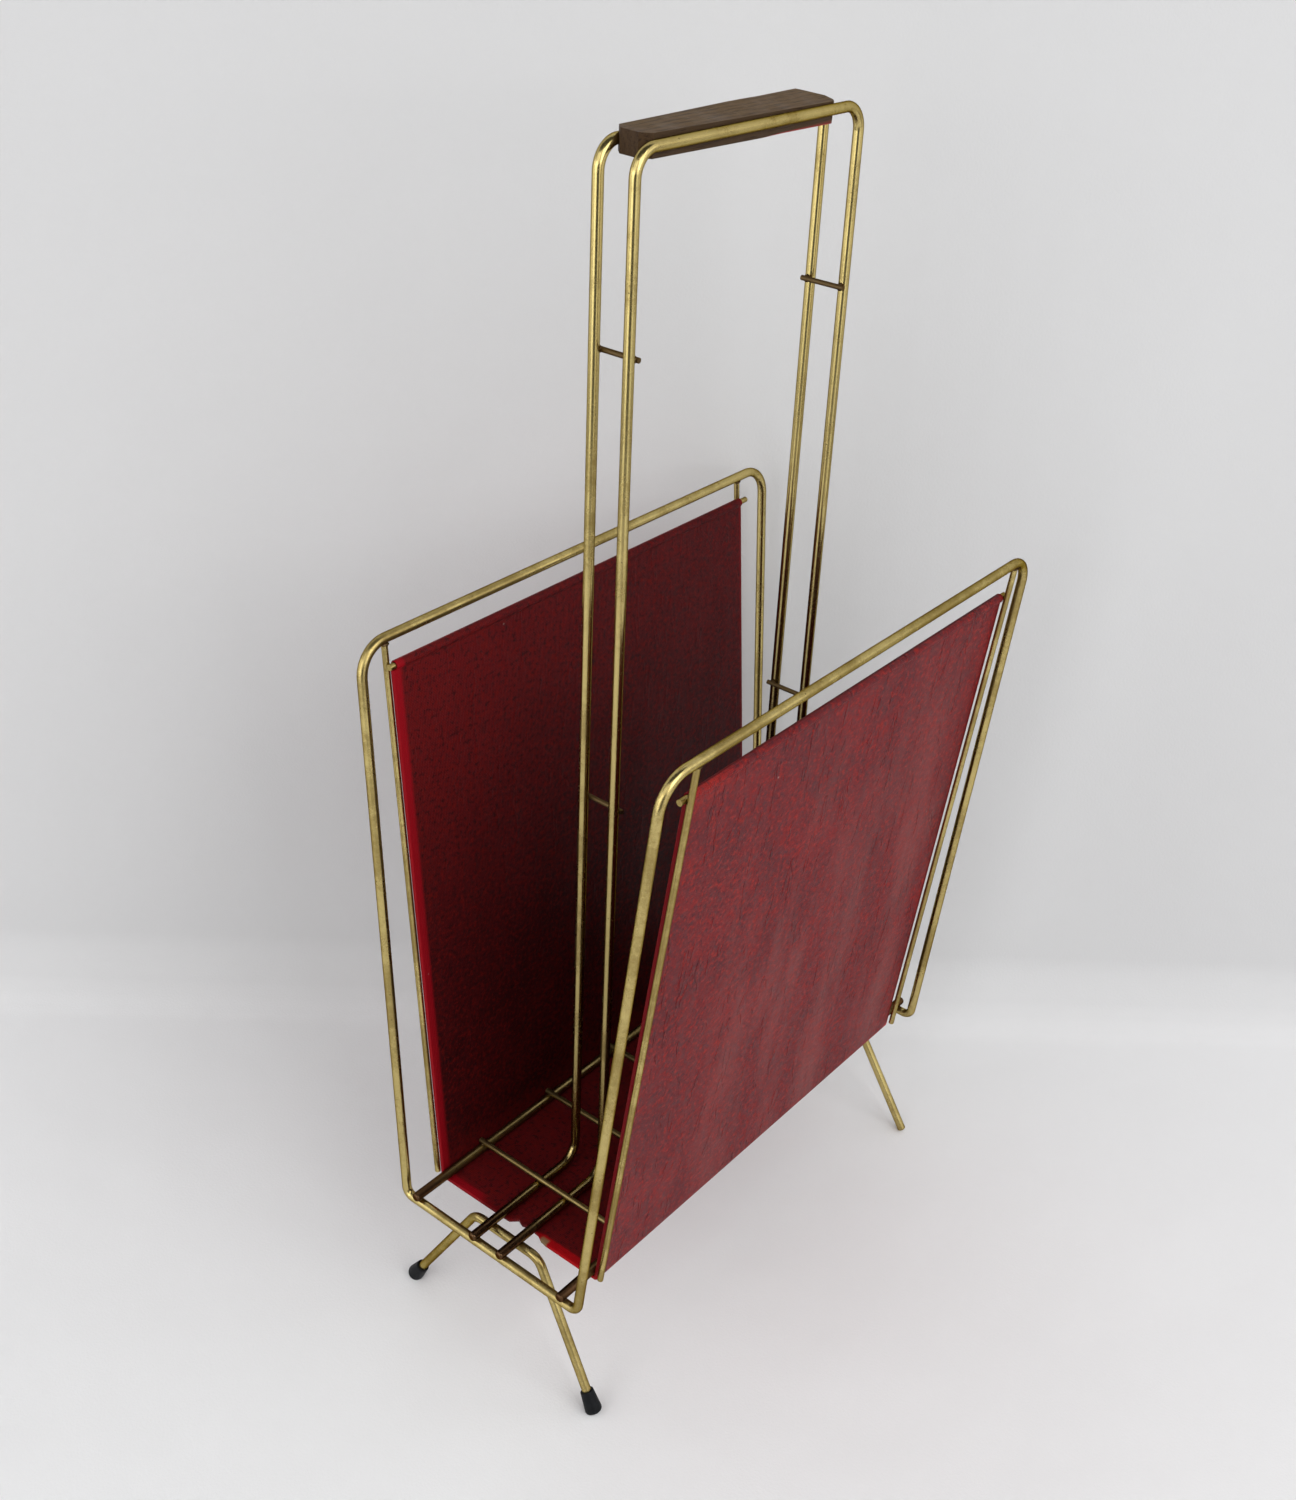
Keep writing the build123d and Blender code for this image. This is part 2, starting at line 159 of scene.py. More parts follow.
def brass(name, polish, grain, stained=0.0, burnt=False, dark_low_and_rear=False):
    """Brass-plated wire: yellow metal with brown tarnish, fine dark pits and bright flecks.

    polish is the share of bright metal, grain the size of the pattern per metre, and stained the
    share of dark brown heat stain. burnt adds brown at the ends of the bottom wires, where they are
    welded, and the last flag a dark brown that grows downwards, most of all at the rear.
    """
    s = Shader(name)
    where = s.place()
    patches = s.noise(where, grain * 0.15, 4.0, 0.6)
    mottle = s.noise(where, grain * 1.8, 6.0, 0.72)
    fine = s.noise(where, grain * 8.0, 4.0, 0.7)
    bare = s.calc("ADD", patches, s.product(mottle, 0.4))
    worn = s.band(bare, 0.70 - polish * 0.3, 1.0 - polish * 0.3)
    metal = s.blend(worn, (0.33, 0.245, 0.085), (0.56, 0.445, 0.175))
    metal = s.blend(s.product(s.band(fine, 0.50, 0.70), 0.25), metal, (0.74, 0.63, 0.33))
    stain = s.band(s.noise(where, grain * 3.0, 8.0, 0.78), 0.56, 0.68)
    rusty = s.product(stain, s.band(patches, 0.40, 0.62, 0.5, 0.08))
    metal = s.blend(rusty, metal, (0.12, 0.072, 0.030))
    pits = s.band(s.cells(where, grain * 1.5), 0.06, 0.15, 1.0, 0.0)
    pits = s.product(pits, s.band(mottle, 0.48, 0.58))
    metal = s.blend(s.product(pits, 0.75), metal, (0.04, 0.022, 0.012))
    spot = s.add("SeparateXYZ", Vector=where)
    if burnt:
        from_middle = s.calc("ABSOLUTE", spot.outputs["Y"])
        ends = s.band(s.calc("ADD", from_middle, s.product(mottle, 0.03)), 0.125, 0.162, 0.0, 0.92)
        low = s.band(spot.outputs["Z"], 0.09, 0.11, 1.0, 0.0)
        metal = s.blend(s.product(ends, low), metal, (0.080, 0.034, 0.018))
    # A dark brown that grows downwards, most of all at the rear.
    if dark_low_and_rear:
        uneven_height = s.calc("ADD", spot.outputs["Z"], s.product(patches, 0.10))
        low_down = s.band(uneven_height, 0.22, 0.50, 1.0, 0.0)
        share = s.product(low_down, s.band(spot.outputs["Y"], -0.03, 0.05, 0.35, 0.96))
        metal = s.blend(share, metal, (0.075, 0.042, 0.026))
    metal = s.blend(stained, metal, (0.075, 0.042, 0.026))
    rough = s.calc("ADD", s.band(worn, 0.0, 1.0, 0.34, 0.22), s.product(stain, 0.10))
    rough = s.calc("ADD", rough, stained * 0.2)
    dents = s.bump(s.noise(where, grain * 0.4, 2.0, 0.5), 0.0002, 0.15)
    relief = s.bump(s.calc("SUBTRACT", fine, pits), 0.00005, 0.35, dents)
    return s.finish(
        Base_Color=metal, Metallic=1.0, Roughness=rough, Normal=relief, Specular_Tint=(0.14, 0.09, 0.045)
    )


def red_vinyl(name, outside):
    """Woven-grain red sheet. Its UV maps hold metres: UVMap is y along the rack and the way round
    the section, Edges the distances from the front and rear edges.

    The outside carries a painted sheen of pale streaks and a painted highlight on its front top corner.
    The inside is darker by painted shade, with painted light high up near the front, low down near the floor
    and along its front edge on the left. The bright edges are painted light.
    """
    s = Shader(name)
    where = s.place(kind="UV")
    gaps = s.add("SeparateXYZ", Vector=s.add("UVMap", {"uv_map": "Edges"}).outputs["UV"])
    from_front = gaps.outputs["X"]
    from_edge = s.calc("MINIMUM", from_front, gaps.outputs["Y"])
    warp_waves = s.add(
        "TexWave", {"bands_direction": "X"}, Vector=where, Scale=310.0, Distortion=1.6, Detail=2.0
    )
    warp_waves.inputs["Detail Scale"].default_value = 2.5
    weft_waves = s.add(
        "TexWave", {"bands_direction": "Y"}, Vector=where, Scale=400.0, Distortion=1.6, Detail=2.0
    )
    weft_waves.inputs["Detail Scale"].default_value = 2.5
    weave = s.product(warp_waves.outputs["Fac"], weft_waves.outputs["Fac"])
    threads = s.noise(s.place((0.35, 1.0, 1.0), "UV"), 900.0, 3.0, 0.6)
    clouds = s.noise(where, 26.0, 5.0, 0.6)
    blots = s.noise(where, 190.0, 5.0, 0.65)
    streaks = s.noise(s.place((1.0, 0.16, 1.0), "UV"), 150.0, 5.0, 0.62, 0.4)
    spot = s.add("SeparateXYZ", Vector=s.place())
    speckle = s.noise(where, 430.0, 3.0, 0.7)
    if outside:
        base = s.blend(s.band(clouds, 0.32, 0.68), (0.115, 0.0080, 0.011), (0.185, 0.009, 0.011))
        # Painted highlight on the front top corner of the outside.
        corner = s.band(from_front, 0.0, 0.05, 0.6, 0.0)
        corner = s.product(corner, s.band(spot.outputs["Z"], 0.348, 0.366))
        base = s.blend(corner, base, (0.46, 0.020, 0.012))
        bright, dark = (0.40, 0.020, 0.010), (0.040, 0.008, 0.014)
    else:
        # Painted shade: the inside's colours are darker than the outside's.
        base = s.blend(s.band(clouds, 0.32, 0.68), (0.040, 0.0030, 0.0042), (0.068, 0.0040, 0.0052))
        # Painted light high up near the front and low down near the floor.
        high_up = s.band(spot.outputs["Z"], 0.15, 0.37)
        painted_light = s.product(s.band(from_front, 0.0, 0.16, 0.85, 0.35), high_up)
        painted_light = s.calc("MAXIMUM", painted_light, s.band(spot.outputs["Z"], 0.082, 0.10, 0.75, 0.0))
        base = s.blend(painted_light, base, (0.145, 0.0065, 0.0080))
        bright, dark = (0.160, 0.006, 0.004), (0.014, 0.003, 0.004)
    base = s.blend(s.product(s.band(blots, 0.5, 0.70), 0.4), base, bright)
    base = s.blend(s.product(s.band(speckle, 0.53, 0.62), 0.6), base, bright)
    base = s.blend(s.product(s.band(speckle, 0.37, 0.47, 1.0, 0.0), 0.7), base, dark)
    base = s.blend(s.product(s.band(blots, 0.30, 0.46, 1.0, 0.0), 0.4), base, dark)
    base = s.blend(s.product(s.band(weave, 0.0, 0.42, 1.0, 0.0), 0.3), base, dark)
    # Painted sheen: pale streaks along the section are laid on the outside as reflected light, weaker near
    # the front edge and low down. The same pattern also varies the roughness.
    sheen_streaks = s.band(s.noise(s.place((1.0, 0.22, 1.0), "UV"), 34.0, 4.0, 0.6), 0.38, 0.72)
    if outside:
        less_sheen_at_front = s.band(s.calc("ADD", from_front, s.product(clouds, 0.06)), 0.02, 0.16, 0.25, 1.0)
        sheen_streaks = s.product(sheen_streaks, less_sheen_at_front)
        sheen_streaks = s.product(sheen_streaks, s.band(spot.outputs["Z"], 0.20, 0.36, 1.0, 0.4))
        base = s.blend(s.product(s.band(streaks, 0.54, 0.70), 0.45), base, (0.070, 0.020, 0.024))
        base = s.blend(s.product(sheen_streaks, 0.45), base, (0.25, 0.085, 0.080))
    # Painted light along the sheet's edges, brightest on the floor's front edge right of the chip.
    ragged = s.calc("ADD", from_edge, s.product(s.noise(where, 120.0), 0.0012))
    on_floor = s.band(spot.outputs["Z"], 0.078, 0.084, 1.0, 0.0)
    right_half = s.product(on_floor, s.band(spot.outputs["X"], 0.006, 0.016))
    left_half = s.product(on_floor, s.band(spot.outputs["X"], -0.006, 0.002, 1.0, 0.0))
    ragged = s.calc("SUBTRACT", ragged, s.product(right_half, 0.0028))
    painted_edge_light = s.product(s.band(ragged, 0.0018, 0.0034, 1.0, 0.0), s.band(left_half, 0.0, 1.0, 0.9, 0.5))
    base = s.blend(painted_edge_light, base, s.blend(right_half, (0.135, 0.0012, 0.0032), (0.40, 0.0030, 0.0060)))
    if not outside:
        # Painted light: a bright strip just inside the front edge on the left side.
        far_side = s.band(spot.outputs["X"], -0.030, -0.020, 1.0, 0.0)
        painted_light_strip = s.product(s.band(from_front, 0.0032, 0.0056, 0.85, 0.0), far_side)
        base = s.blend(painted_light_strip, base, (0.27, 0.0030, 0.0085))
    fray_place = s.calc("ABSOLUTE", s.calc("SUBTRACT", spot.outputs["X"], CHIP_SPAN[1] + 0.001))
    fray = s.band(fray_place, 0.0015, 0.0032, 1.0, 0.0)
    fray = s.product(fray, s.band(from_front, 0.0015, 0.0040, 1.0, 0.0))
    base = s.blend(s.product(fray, on_floor), base, (0.24, 0.17, 0.085))
    specks = s.band(s.cells(where, 95.0), 0.035, 0.07, 1.0, 0.0)
    specks = s.product(specks, s.band(s.noise(where, 40.0, 2.0), 0.62, 0.66))
    base = s.blend(s.product(specks, 0.7), base, (0.42, 0.33, 0.30))
    rough = s.calc("ADD", s.band(blots, 0.3, 0.7, 0.44, 0.58), s.product(sheen_streaks, 0.06))
    grain = s.bump(s.calc("ADD", weave, s.product(threads, 0.6)), 0.00018, 0.6)
    creases = s.band(s.noise(s.place((1.0, 0.20, 1.0), "UV"), 170.0, 2.0, 0.5, 1.0), 0.60, 0.68)
    ripple = s.bump(streaks, 0.0006, 0.3, s.bump(creases, 0.0010, 0.8 if outside else 0.2, grain))
    return s.finish(
        Base_Color=base, Roughness=rough, Normal=ripple, Specular_IOR_Level=0.12 if outside else 0.07
    )


def walnut(name):
    """Dark oiled wood with its grain along Y, pale from handling in places, darker on its sides by painted
    shade, and red underneath.
    """
    s = Shader(name)
    where = s.place((1.0, 0.045, 1.0))
    rings = s.add("TexWave", {"bands_direction": "X"}, Vector=where, Scale=95.0, Distortion=7.0, Detail=4.0)
    rings.inputs["Detail Scale"].default_value = 1.4
    fibres = s.noise(s.place((1.0, 0.03, 1.0)), 2600.0, 4.0, 0.6)
    pores = s.noise(s.place((1.0, 0.06, 1.0)), 1500.0, 2.0, 0.5)
    wood = s.blend(rings.outputs["Fac"], (0.044, 0.022, 0.008), (0.115, 0.066, 0.028))
    wood = s.blend(s.band(fibres, 0.35, 0.65), wood, (0.135, 0.082, 0.036))
    wood = s.blend(s.product(s.band(pores, 0.30, 0.40, 1.0, 0.0), 0.8), wood, (0.014, 0.008, 0.004))
    hands = s.noise(s.place(), 60.0, 5.0, 0.6)
    wood = s.blend(s.product(s.band(hands, 0.45, 0.75), 0.3), wood, (0.135, 0.088, 0.042))
    upward = s.add("SeparateXYZ", Vector=s.add("NewGeometry").outputs["Normal"]).outputs["Z"]
    # Painted shade: the sides and underside are darker than the top.
    wood = s.blend(s.band(upward, 0.1, 0.8, 0.70, 0.0), wood, (0.020, 0.009, 0.005))
    wood = s.blend(s.band(upward, -0.40, -0.10, 1.0, 0.0), wood, (0.26, 0.026, 0.024))
    rough = s.band(hands, 0.3, 0.7, 0.46, 0.66)
    grain = s.bump(s.calc("SUBTRACT", fibres, s.band(pores, 0.30, 0.40, 0.6, 0.0)), 0.00025, 0.5)
    return s.finish(Base_Color=wood, Roughness=rough, Normal=grain, Specular_IOR_Level=0.12)


def rubber(name):
    """Black moulded rubber, dusty and scuffed."""
    s = Shader(name)
    where = s.place()
    dust = s.noise(where, 500.0, 6.0, 0.65)
    scuffs = s.noise(s.place((1.0, 1.0, 0.3)), 900.0, 4.0, 0.6)
    base = s.blend(s.band(dust, 0.40, 0.75), (0.003, 0.0035, 0.0045), (0.010, 0.011, 0.013))
    base = s.blend(s.product(s.band(scuffs, 0.62, 0.75), 0.35), base, (0.045, 0.045, 0.047))
    rough = s.band(dust, 0.3, 0.7, 0.42, 0.62)
    skin = s.bump(s.noise(where, 2200.0, 3.0, 0.6), 0.0002, 0.5)
    return s.finish(Base_Color=base, Roughness=rough, Normal=skin, Specular_IOR_Level=0.14)


def backdrop_cloth():
    """The pale cloth of the floor and wall, with a faint tooth. Its tone changes through the cove
    between them, which faces the lamps, so that the cove doesn't shine. It is clear from behind, so
    that the rack can be seen from all round."""
    s = Shader("backdrop_cloth")
    where = s.place()
    tooth = s.noise(where, 700.0, 3.0, 0.6)
    folds = s.noise(where, 5.0, 3.0, 0.5)
    height = s.add("SeparateXYZ", Vector=where).outputs["Z"]
    ramp = s.add("ValToRGB", Fac=s.calc("DIVIDE", height, COVE_RADIUS))
    stops = ramp.color_ramp.elements
    for share, tone in COVE_TONES[1:-1]:
        stops.new(share)
    for stop, (share, tone) in zip(stops, COVE_TONES):
        stop.color = (tone, tone, tone * 1.008, 1)
    base = s.blend(s.band(folds, 0.3, 0.7, 0.03, 0.0), ramp.outputs["Color"], (0.5, 0.5, 0.5))
    relief = s.bump(tooth, 0.0003, 0.4, s.bump(folds, 0.02, 0.25))
    cloth = s.finish(Base_Color=base, Roughness=0.85, Normal=relief, Specular_IOR_Level=0.3)
    either = s.add("MixShader")
    s.put(either.inputs[0], s.add("NewGeometry").outputs["Backfacing"])
    s.put(either.inputs[1], s.surface.outputs["BSDF"])
    s.put(either.inputs[2], s.add("BsdfTransparent").outputs["BSDF"])
    s.put(s.tree.nodes["Material Output"].inputs["Surface"], either.outputs["Shader"])
    return cloth


# ---- Places read from the frame -------------------------------------------------------------


def middle(node):
    low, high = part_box(node)
    return (low + high) / 2


def half_size(node):
    low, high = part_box(node)
    return (high - low) / 2


def wire_ends(node, axis):
    """The middles of a straight wire's two ends, the one lower along the axis first."""
    piece = frame["nodes"][node]
    points = [piece.matrix_world @ vert.co for vert in piece.data.vertices]
    halfway = middle(node)[axis]
    ends = []
    for ring in ([p for p in points if p[axis] < halfway], [p for p in points if p[axis] > halfway]):
        ends.append(Vector([(min(p[k] for p in ring) + max(p[k] for p in ring)) / 2 for k in range(3)]))
    return ends


SIDE_NAMES = {-1: "left", 1: "right"}
END_NAMES = {-1: "front", 1: "rear"}
rail = middle("bottom_rail_right")
rail_radius = half_size("bottom_rail_right").z
rods = {side: wire_ends(f"top_rod_{SIDE_NAMES[side]}", 1) for side in SIDE_NAMES}
rod_radius = half_size("floor_wire_1").z
stays = {
    (side, end): wire_ends(f"side_stay_{END_NAMES[end]}_{SIDE_NAMES[side]}", 2)
    for side in SIDE_NAMES
    for end in END_NAMES
}
sheet_low, sheet_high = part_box("sling_sheet")

# ---- Sling sheet ----------------------------------------------------------------------------

rail_wrap = rail_radius + SHEET_GAP + SHEET_THICKNESS / 2
stay_foot, stay_head = stays[1, -1]
side_tilt = math.atan2(stay_head.x - stay_foot.x, stay_head.z - stay_foot.z)
fold_drop = rail_wrap - FOLD_RADIUS
fold_x = rail.x + fold_drop * (1 - math.sin(side_tilt)) / math.cos(side_tilt)


def at_y(ends, y):
    """The point at y on the line through two points."""
    return ends[0].lerp(ends[1], (y - ends[0].y) / (ends[1].y - ends[0].y))


def at_z(ends, z):
    return ends[0].lerp(ends[1], (z - ends[0].z) / (ends[1].z - ends[0].z))


def slope(side):
    """The directions up along a side of the sheet and out from it."""
    up = Vector((side * math.sin(side_tilt), 0, math.cos(side_tilt)))
    out = Vector((side * math.cos(side_tilt), 0, -math.sin(side_tilt)))
    return up, out


def section_rows():
    """The sheet's lines along the rack, from the left top edge round to the right one.

    Each is ("side", side, share of the way up), ("bend", side, share of the way round) or
    ("floor", 0, x).
    """
    tall = round(rods[1][0].z / SHEET_STEP * 0.8)
    wide = round(2 * fold_x / SHEET_STEP)
    left = [("side", -1, 1 - i / tall) for i in range(tall)]
    left += [("bend", -1, 1 - i / BEND_STEPS) for i in range(BEND_STEPS)]
    floor = [("floor", 0, fold_x * (2 * i / wide - 1)) for i in range(wide + 1)]
    right = [("bend", 1, (i + 1) / BEND_STEPS) for i in range(BEND_STEPS)]
    right += [("side", 1, (i + 1) / tall) for i in range(tall)]
    return left + floor + right


def row_place(row, y):
    """A point of a line on the sheet's middle layer, and the way out of the sheet there."""
    kind, side, share = row
    if kind == "floor":
        return Vector((share, y, rail.z - rail_wrap)), Vector((0, 0, -1))
    up, out = slope(side)
    fold = Vector((side * fold_x, y, rail.z - fold_drop))
    if kind == "bend":
        turn = share * (math.pi / 2 - side_tilt)
        way = Vector((side * math.sin(turn), 0, -math.cos(turn)))
        return fold + way * FOLD_RADIUS, way
    foot = fold + out * FOLD_RADIUS
    tall = (at_y(rods[side], y) - foot).dot(up) - SLEEVE_DEPTH
    return foot + up * (tall * share), out


def row_ends(row):
    """The front and rear y of a line: they follow the stays, as the sheet isn't cut quite square."""
    point, _ = row_place(row, 0)
    ends = []
    for end, inset in ((-1, FRONT_INSET), (1, -REAR_INSET)):
        if row[0] == "floor":
            left, right = (at_z(stays[side, end], point.z) for side in (-1, 1))
            share = (point.x / fold_x + 1) / 2
            y = left.y + (right.y - left.y) * share
        else:
            y = at_z(stays[row[1], end], point.z).y
        ends.append(y + inset)
    return ends


def chip(row):
    """How far the front edge of the floor is broken back on a line."""
    if row[0] != "floor" or not CHIP_SPAN[0] < row[2] < CHIP_SPAN[1]:
        return 0.0
    share = (row[2] - CHIP_SPAN[0]) / (CHIP_SPAN[1] - CHIP_SPAN[0])
    ragged = 0.75 + 0.45 * noise.noise(Vector((row[2] * 900, 3.1, 0)))
    return CHIP_DEPTH * min(1.0, 6 * share, 7 * (1 - share)) * ragged


def bow(row, along, point):
    """How far the sheet bows at a point: the floor downwards, the sides inwards, and never at a wire."""
    edge = math.sin(math.pi * along) ** 0.5
    if row[0] == "floor":
        return SHEET_SAG * max(0.0, 1 - (point.x / (rail.x * 0.93)) ** 2) * edge
    if row[0] == "bend" or not 0.02 < row[2] < 0.97:
        return 0.0
    uneven = noise.noise(Vector((point.x * 9, along * 3, point.z * 12)))
    swell = math.sin(math.pi * row[2]) * (0.9 + 0.8 * uneven)
    return -SHEET_SAG * 1.6 * edge * max(0.0, swell)


def add_face(bm, verts, material, uv_of):
    """One face with its material and both of its UV maps."""
    face = bm.faces.new(verts)
    face.material_index = material
    for name, layer in (("UVMap", 0), ("Edges", 1)):
        uv = bm.loops.layers.uv.get(name) or bm.loops.layers.uv.new(name)
        for loop in face.loops:
            loop[uv].uv = uv_of[loop.vert][layer]


def sheet_body(bm, uv_of):
    """The sheet without its sleeves. Returns its length round the section."""
    rows = section_rows()
    columns = round((sheet_high.y - sheet_low.y) / SHEET_STEP)
    layers = {-1: [], 1: []}
    run = 0.0
    before = None
    for row in rows:
        here, _ = row_place(row, 0)
        run += (here - before).length if before is not None else 0.0
        before = here
        front, rear = row_ends(row)
        broken = chip(row)
        for face in (-1, 1):
            line = []
            for j in range(columns + 1):
                along = j / columns
                y = front + broken + (rear - front - broken) * along
                point, out = row_place(row, y)
                vert = bm.verts.new(point + out * (face * SHEET_THICKNESS / 2 + bow(row, along, point)))
                uv_of[vert] = ((y, run), (y - front, rear - y))
                line.append(vert)
            layers[face].append(line)
    inner, outer = layers[-1], layers[1]
    last, end = len(rows) - 1, columns
    for i in range(last):
        for j in range(end):
            add_face(bm, (inner[i][j], inner[i][j + 1], inner[i + 1][j + 1], inner[i + 1][j]), 0, uv_of)
            add_face(bm, (outer[i][j], outer[i + 1][j], outer[i + 1][j + 1], outer[i][j + 1]), 1, uv_of)
        add_face(bm, (inner[i][0], inner[i + 1][0], outer[i + 1][0], outer[i][0]), 2, uv_of)
        add_face(bm, (inner[i][end], outer[i][end], outer[i + 1][end], inner[i + 1][end]), 2, uv_of)
    for j in range(end):
        add_face(bm, (inner[0][j], outer[0][j], outer[0][j + 1], inner[0][j + 1]), 2, uv_of)
        add_face(bm, (inner[last][j], inner[last][j + 1], outer[last][j + 1], outer[last][j]), 2, uv_of)
    return run


def sleeve(bm, uv_of, side, run):
    """The thinned edge of the sheet that wraps a top rod, between the two stays."""
    up, out = slope(side)
    tall = at_y(rods[side], 0).z
    front = at_z(stays[side, -1], tall).y + rod_radius + SLEEVE_CLEARANCE
    rear = at_z(stays[side, 1], tall).y - rod_radius - SLEEVE_CLEARANCE
    columns = round((rear - front) / SHEET_STEP)
    bore = rod_radius + SHEET_GAP
    rings = {bore: [], bore + SLEEVE_THICKNESS: []}
    for radius, lines in rings.items():
        for k in range(SLEEVE_STEPS):
            turn = 2 * math.pi * k / SLEEVE_STEPS
            way = out * math.cos(turn) + up * math.sin(turn)
            line = []
            for j in range(columns + 1):
                y = front + (rear - front) * j / columns
                vert = bm.verts.new(at_y(rods[side], y) + way * radius)
                uv_of[vert] = ((y, run + side * radius * turn), (y - front, rear - y))
                line.append(vert)
            lines.append(line)
    bores, skins = rings.values()
    for k in range(SLEEVE_STEPS):
        following = (k + 1) % SLEEVE_STEPS
        facing_out = math.cos(2 * math.pi * (k + 0.5) / SLEEVE_STEPS) > 0
        for j in range(columns):
            a, b = (k, following) if side > 0 else (following, k)
            add_face(bm, (skins[a][j], skins[b][j], skins[b][j + 1], skins[a][j + 1]), int(facing_out), uv_of)
            add_face(bm, (bores[b][j], bores[a][j], bores[a][j + 1], bores[b][j + 1]), 0, uv_of)
        for j in (0, columns):
            add_face(bm, (bores[k][j], bores[following][j], skins[following][j], skins[k][j]), 2, uv_of)


def build_sheet():
    bm = bmesh.new()
    uv_of = {}
    length = sheet_body(bm, uv_of)
    sleeve(bm, uv_of, -1, 0.0)
    sleeve(bm, uv_of, 1, length)
    for face in bm.faces:
        face.smooth = True
    bmesh.ops.recalc_face_normals(bm, faces=bm.faces)
    mesh = bpy.data.meshes.new("sling_sheet_visual")
    bm.to_mesh(mesh)
    bm.free()
    mesh.materials.append(red_vinyl("red_vinyl_inside_painted_shade", False))
    mesh.materials.append(red_vinyl("red_vinyl_outside_painted_sheen", True))
    mesh.materials.append(red_vinyl("red_vinyl_edge", False))
    sheet = bpy.data.objects.new("sling_sheet_visual", mesh)
    bpy.context.scene.collection.objects.link(sheet)
    edges = sheet.modifiers.new("rounded_edges", "BEVEL")
    edges.width = EDGE_ROUND
    edges.segments = 3
    edges.limit_method = "ANGLE"
    edges.angle_limit = math.radians(60)
    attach(sheet, "root")
    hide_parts("sling_sheet")


# ---- Welds ----------------------------------------------------------------------------------


def bead(bm, centre, size, seed):
    """One uneven bead of weld metal in a mesh being built."""
    made = bmesh.ops.create_icosphere(bm, subdivisions=3, radius=1.0)["verts"]
    for vert in made:
        direction = vert.co.normalized()
        swell = 1 + 0.22 * noise.noise(direction * 1.7 + Vector((seed, 0, 0)))
        vert.co = centre + Vector([direction[k] * size[k] for k in range(3)]) * swell


def weld_places():
    """(centre, half sizes) of each weld: where two wires of the rack cross or lie on each other."""
    places = []
    thick = rail_radius
    end_y = half_size("frame_loop").y - thick
    contact_z = rail.z - thick
    run_x = half_size("handle_spacer_front_lower").x - thick
    for end in (-1, 1):
        for x in (-rail.x, -run_x, run_x, rail.x):
            places.append((Vector((x, end * end_y, contact_z)), (0.0019, 0.0019, 0.0007)))
    for node in (n for n in frame["nodes"] if n.startswith("handle_spacer")):
        for side in (-1, 1):
            away = math.copysign(0.0007, middle(node).y)
            centre = middle(node) + Vector((side * run_x, away, 0))
            places.append((centre, (0.0016, 0.0014, 0.0017)))
    for _, head in stays.values():
        places.append((head, (0.0021, 0.0021, 0.0009)))
    for node in (n for n in frame["nodes"] if n.startswith("floor_wire")):
        centre = middle(node)
        for x in (-rail.x, rail.x):
            places.append((Vector((x, centre.y, centre.z - rod_radius)), (0.0015, 0.0013, 0.0006)))
    return places


def build_welds(material):
    bm = bmesh.new()
    for index, (centre, size) in enumerate(weld_places()):
        bead(bm, centre, size, index * 1.37)
    for face in bm.faces:
        face.smooth = True
    mesh = bpy.data.meshes.new("weld_beads")
    bm.to_mesh(mesh)
    bm.free()
    mesh.materials.append(material)
    welds = bpy.data.objects.new("weld_beads", mesh)
    bpy.context.scene.collection.objects.link(welds)
    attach(welds, "root")


# ---- Materials of the CAD nodes -------------------------------------------------------------


OWN_FINISHES = ("handle_spacer", "handle_wire", "bottom_rail", "floor_wire")


def dress_nodes(finishes):
    """Gives each CAD node its own kind's material, or else that of its slot in the record."""
    for part in frame["record"]["subparts"]:
        node = frame["nodes"][part["node"]]
        made = finishes.get(part["material_slot"])
        if made is None:
            continue
        for start in OWN_FINISHES:
            if part["node"].startswith(start):
                made = finishes[start]
        for slot in node.material_slots:
            slot.material = made
        for face in node.data.polygons:
            face.use_smooth = True


# ---- Floor, backdrop, light and camera ------------------------------------------------------

CAMERA = {
    "azimuth": 37.513,
    "elevation": 30.675,
    "roll": 3.475,
    "distance": 0.87695,
    "look_at": (-0.03689, 0.00203, 0.28552),
    "lens": 41.589,
}
LAMPS = (                    # azimuth and elevation in degrees, then watts
    (-40, 8, 6.4), (-40, 35, 2.1), (0, 8, 10.2), (0, 35, 5.7), (40, 40, 5.0),
    (80, 8, 5.3), (80, 35, 12.7), (120, 8, 3.8), (120, 35, 4.5),
)
WALL_AZIMUTH = 40.6          # the backdrop's normal, as seen from above
WALL_DISTANCE = 0.186        # from the rack's middle to the backdrop
COVE_RADIUS = 0.04           # of the turn from floor to wall
COVE_STEPS = 16
COVE_TONES = (               # share of the cove's height, then the cloth's tone there
    (0.0, 0.85), (0.034, 0.80), (0.134, 0.73), (0.293, 0.67), (0.5, 0.65), (0.74, 0.635), (1.0, 0.61),
)
FLOOR_REACH = 1.1            # how far the cloth comes forward of the rack's middle
STAGE_HALF_WIDTH = 1.1
WALL_HEIGHT = 1.5
FLOOR_LINE = 0.2             # where the flat floor and the wall are each divided once
WALL_LINE = 0.5
LAMP_DISTANCE = 1.8          # from the point that the lamps face
LAMP_SIZE = 1.2
LAMP_AIM = (0, 0, 0.25)
ROOM_TINT = (0.97, 0.98, 1.0, 1)
ROOM_LIGHT = 0.065           # how strongly the room lights the scene
ROOM_LOOK = 0.62             # how bright it looks past the cloth


def horizontal(azimuth):
    """The level direction that a camera at that azimuth lies in."""
    a = math.radians(azimuth)
    return Vector((math.sin(a), -math.cos(a), 0))


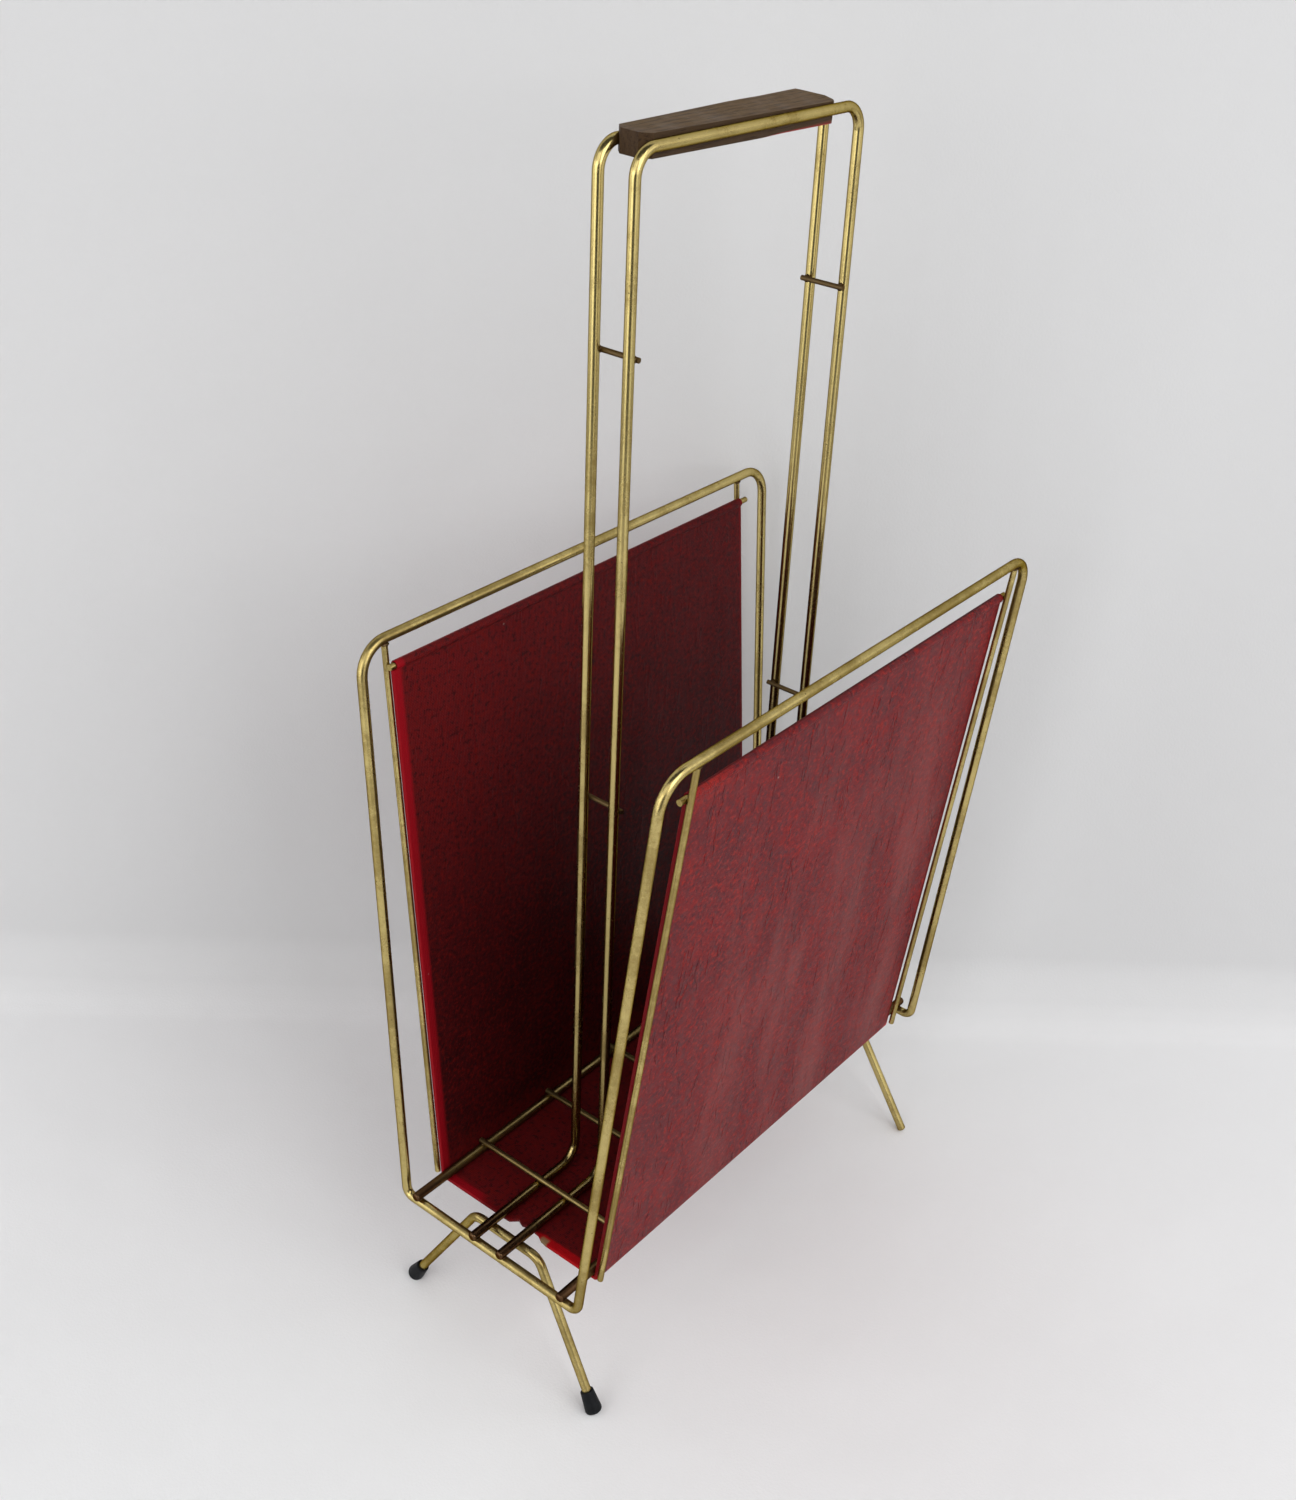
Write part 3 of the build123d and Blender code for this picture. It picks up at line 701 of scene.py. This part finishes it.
def build_stage():
    """A floor that turns up into a backdrop behind the rack."""
    towards = horizontal(WALL_AZIMUTH)
    side = Vector((-towards.y, towards.x, 0))
    profile = [(FLOOR_REACH, 0.0), (FLOOR_LINE, 0.0), (-WALL_DISTANCE + COVE_RADIUS, 0.0)]
    for i in range(1, COVE_STEPS + 1):
        a = math.pi / 2 * i / COVE_STEPS
        turn = COVE_RADIUS * math.sin(a)
        profile.append((-WALL_DISTANCE + COVE_RADIUS - turn, COVE_RADIUS * (1 - math.cos(a))))
    profile += [(-WALL_DISTANCE, WALL_LINE), (-WALL_DISTANCE, WALL_HEIGHT)]
    bm = bmesh.new()
    rows = []
    for out, up in profile:
        centre = towards * out + Vector((0, 0, up))
        reaches = (-STAGE_HALF_WIDTH, STAGE_HALF_WIDTH)
        rows.append([bm.verts.new(centre + side * reach) for reach in reaches])
    for a, b in zip(rows, rows[1:]):
        face = bm.faces.new((a[0], b[0], b[1], a[1]))
        face.smooth = True
    for face in bm.faces:
        face.normal_update()
        if face.normal.dot(towards) + face.normal.z < 0:
            face.normal_flip()
    mesh = bpy.data.meshes.new("backdrop")
    bm.to_mesh(mesh)
    bm.free()
    mesh.materials.append(backdrop_cloth())
    backdrop = bpy.data.objects.new("backdrop", mesh)
    bpy.context.scene.collection.objects.link(backdrop)


def build_world():
    """A dim grey room, so that the lamps do the lighting. Past the cloth it looks as pale as the wall."""
    world = bpy.data.worlds.new("room")
    world.use_nodes = True
    nodes = world.node_tree.nodes
    link = world.node_tree.links.new
    either = nodes.new("ShaderNodeMixShader")
    link(nodes.new("ShaderNodeLightPath").outputs["Is Camera Ray"], either.inputs[0])
    shades = ((nodes["Background"], ROOM_LIGHT), (nodes.new("ShaderNodeBackground"), ROOM_LOOK))
    for place, (background, strength) in enumerate(shades, 1):
        background.inputs["Color"].default_value = ROOM_TINT
        background.inputs["Strength"].default_value = strength
        link(background.outputs[0], either.inputs[place])
    link(either.outputs[0], nodes["World Output"].inputs["Surface"])
    bpy.context.scene.world = world


def soft_light(azimuth, elevation, power):
    """A large square lamp that faces the rack from round the camera's side of the room, unseen itself."""
    lamp = bpy.data.lights.new("soft_light", "AREA")
    lamp.shape = "SQUARE"
    lamp.size = LAMP_SIZE
    lamp.energy = power
    tilt = math.radians(elevation)
    away = horizontal(azimuth) * math.cos(tilt) + Vector((0, 0, math.sin(tilt)))
    placed = bpy.data.objects.new("soft_light", lamp)
    placed.location = Vector(LAMP_AIM) + away * LAMP_DISTANCE
    placed.rotation_euler = away.to_track_quat("Z", "Y").to_euler()
    placed.visible_camera = False
    bpy.context.scene.collection.objects.link(placed)


def build_camera():
    a, e, r = (math.radians(CAMERA[k]) for k in ("azimuth", "elevation", "roll"))
    back = Vector((math.sin(a) * math.cos(e), -math.cos(a) * math.cos(e), math.sin(e)))
    level = Vector((math.cos(a), math.sin(a), 0))
    upright = back.cross(level)
    right = level * math.cos(r) + upright * math.sin(r)
    up = upright * math.cos(r) - level * math.sin(r)
    data = bpy.data.cameras.new("camera")
    data.lens = CAMERA["lens"]
    data.sensor_width = 36.0
    data.clip_start, data.clip_end = 0.01, 20.0
    camera = bpy.data.objects.new("camera", data)
    turn = Matrix((right, up, back)).transposed().to_4x4()
    camera.matrix_world = Matrix.Translation(Vector(CAMERA["look_at"]) + back * CAMERA["distance"]) @ turn
    bpy.context.scene.collection.objects.link(camera)
    bpy.context.scene.camera = camera


# ---- Build ----------------------------------------------------------------------------------

weld_brass = brass("weld_brass", 0.2, 300.0, 0.9)
dress_nodes(
    {
        "thick_brass": brass("thick_brass", 0.5, 200.0),
        "thin_brass": brass("thin_brass", 0.35, 240.0),
        "handle_spacer": brass("spacer_brass", 0.1, 260.0, 0.8),
        "handle_wire": brass("handle_brass", 0.8, 200.0, burnt=True, dark_low_and_rear=True),
        "bottom_rail": brass("rail_brass", 0.3, 200.0, 0.25, burnt=True),
        "floor_wire": brass("floor_brass", 0.2, 240.0, 0.45),
        "walnut": walnut("walnut"),
        "black_rubber": rubber("black_rubber"),
    }
)
build_sheet()
build_welds(weld_brass)
build_stage()
build_world()
for azimuth, elevation, power in LAMPS:
    soft_light(azimuth, elevation, power)
build_camera()
bpy.context.scene.view_settings.view_transform = "Standard"
